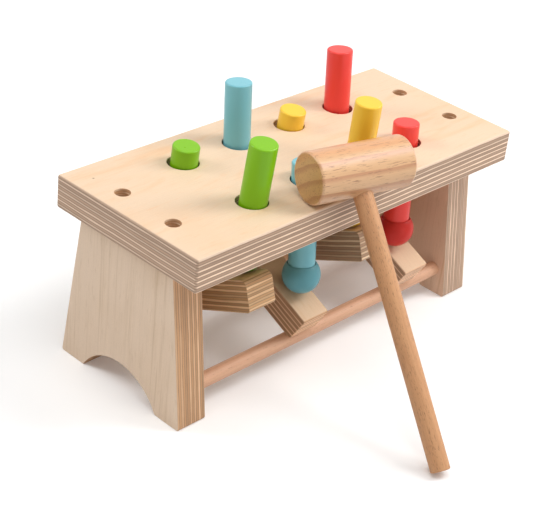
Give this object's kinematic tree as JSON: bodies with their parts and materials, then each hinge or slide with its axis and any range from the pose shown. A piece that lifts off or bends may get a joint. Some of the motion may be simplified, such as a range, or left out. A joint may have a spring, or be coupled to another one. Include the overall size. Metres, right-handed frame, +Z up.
{
  "type": "peg pounding bench",
  "caption": "Plywood toy bench with painted pegs over see-saw rockers, so driving a peg down lifts its partner, and a wooden mallet leaning on its front edge.",
  "frame": {"origin": "on the floor, in the middle of the footprint of the bench and its leaning mallet", "axes": "+X along the top board, from the green pegs to the red ones; +Y from the front edge, where the mallet leans, to the back; +Z up"},
  "size_m": [0.232, 0.1972, 0.1369],
  "materials": {
    "board_plywood": "birch plywood, sanded and clear-coated, layers showing on the edges",
    "leg_plywood": "birch plywood with upright grain, sanded, layers showing on the edges",
    "rocker_plywood": "birch plywood, layers parallel to the top face",
    "dowel_beech": "plain beech dowel",
    "green_paint": "satin green paint on wood",
    "blue_paint": "satin teal blue paint on wood",
    "yellow_paint": "satin yellow paint on wood",
    "red_paint": "satin red paint on wood",
    "head_wood": "pale turned wood, clear-coated",
    "handle_beech": "beech dowel, clear-coated",
    "screw_steel": "zinc-plated steel"
  },
  "bodies": {
    "bench": {"top_board": "board_plywood", "left_leg": "leg_plywood", "right_leg": "leg_plywood", "top_screws": "screw_steel", "rocker_axle": "dowel_beech", "spacer_sleeves": "dowel_beech", "front_stop_bar": "dowel_beech", "rear_stop_bar": "dowel_beech"},
    "green_rocker": {"green_rocker": "rocker_plywood"},
    "green_front_peg": {"green_front_peg": "green_paint", "green_front_ball": "green_paint"},
    "green_rear_peg": {"green_rear_peg": "green_paint", "green_rear_ball": "green_paint"},
    "blue_rocker": {"blue_rocker": "rocker_plywood"},
    "blue_front_peg": {"blue_front_peg": "blue_paint", "blue_front_ball": "blue_paint"},
    "blue_rear_peg": {"blue_rear_peg": "blue_paint", "blue_rear_ball": "blue_paint"},
    "yellow_rocker": {"yellow_rocker": "rocker_plywood"},
    "yellow_front_peg": {"yellow_front_peg": "yellow_paint", "yellow_front_ball": "yellow_paint"},
    "yellow_rear_peg": {"yellow_rear_peg": "yellow_paint", "yellow_rear_ball": "yellow_paint"},
    "red_rocker": {"red_rocker": "rocker_plywood"},
    "red_front_peg": {"red_front_peg": "red_paint", "red_front_ball": "red_paint"},
    "red_rear_peg": {"red_rear_peg": "red_paint", "red_rear_ball": "red_paint"},
    "mallet": {"mallet_head": "head_wood", "mallet_handle": "handle_beech"}
  },
  "joints": [
    {"name": "green_rocker_turn", "type": "hinge", "parent": "bench", "child": "green_rocker", "pos_m": [-0.06, 0.04862, 0.04277], "axis": [1, 0, 0], "range_deg": [0, 47.5]},
    {"name": "green_front_peg_travel", "type": "slide", "parent": "bench", "child": "green_front_peg", "axis": [0, 0.0958, -0.9954], "range_m": [0, 0.01938]},
    {"name": "green_rear_peg_travel", "type": "slide", "parent": "bench", "child": "green_rear_peg", "axis": [0, -0.0785, 0.9969], "range_m": [0, 0.02362]},
    {"name": "blue_rocker_turn", "type": "hinge", "parent": "bench", "child": "blue_rocker", "pos_m": [-0.02, 0.04862, 0.04277], "axis": [-1, 0, 0], "range_deg": [0, 47.5]},
    {"name": "blue_front_peg_travel", "type": "slide", "parent": "bench", "child": "blue_front_peg", "axis": [0, 0.0958, 0.9954], "range_m": [0, 0.02416]},
    {"name": "blue_rear_peg_travel", "type": "slide", "parent": "bench", "child": "blue_rear_peg", "axis": [0, -0.0785, -0.9969], "range_m": [0, 0.01981]},
    {"name": "yellow_rocker_turn", "type": "hinge", "parent": "bench", "child": "yellow_rocker", "pos_m": [0.022, 0.04862, 0.04277], "axis": [1, 0, 0], "range_deg": [0, 47.5]},
    {"name": "yellow_front_peg_travel", "type": "slide", "parent": "bench", "child": "yellow_front_peg", "axis": [0, 0.0523, -0.9986], "range_m": [0, 0.02046]},
    {"name": "yellow_rear_peg_travel", "type": "slide", "parent": "bench", "child": "yellow_rear_peg", "axis": [0, -0.0958, 0.9954], "range_m": [0, 0.02416]},
    {"name": "red_rocker_turn", "type": "hinge", "parent": "bench", "child": "red_rocker", "pos_m": [0.06, 0.04862, 0.04277], "axis": [-1, 0, 0], "range_deg": [0, 47.5]},
    {"name": "red_front_peg_travel", "type": "slide", "parent": "bench", "child": "red_front_peg", "axis": [0, 0.0523, 0.9986], "range_m": [0, 0.02283]},
    {"name": "red_rear_peg_travel", "type": "slide", "parent": "bench", "child": "red_rear_peg", "axis": [0, -0.0785, -0.9969], "range_m": [0, 0.01981]},
    {"name": "mallet_lift", "type": "slide", "parent": "bench", "child": "mallet", "axis": [0, 0, 1], "range_m": [0, 0.15]}
  ],
  "couplings": [
    {"joint": "green_front_peg_travel", "follows": "green_rocker_turn", "m_per_rad": 0.02338},
    {"joint": "green_rear_peg_travel", "follows": "green_rocker_turn", "m_per_rad": 0.028483},
    {"joint": "blue_front_peg_travel", "follows": "blue_rocker_turn", "m_per_rad": 0.029137},
    {"joint": "blue_rear_peg_travel", "follows": "blue_rocker_turn", "m_per_rad": 0.023894},
    {"joint": "yellow_front_peg_travel", "follows": "yellow_rocker_turn", "m_per_rad": 0.024677},
    {"joint": "yellow_rear_peg_travel", "follows": "yellow_rocker_turn", "m_per_rad": 0.029137},
    {"joint": "red_front_peg_travel", "follows": "red_rocker_turn", "m_per_rad": 0.027532},
    {"joint": "red_rear_peg_travel", "follows": "red_rocker_turn", "m_per_rad": 0.023894}
  ]
}
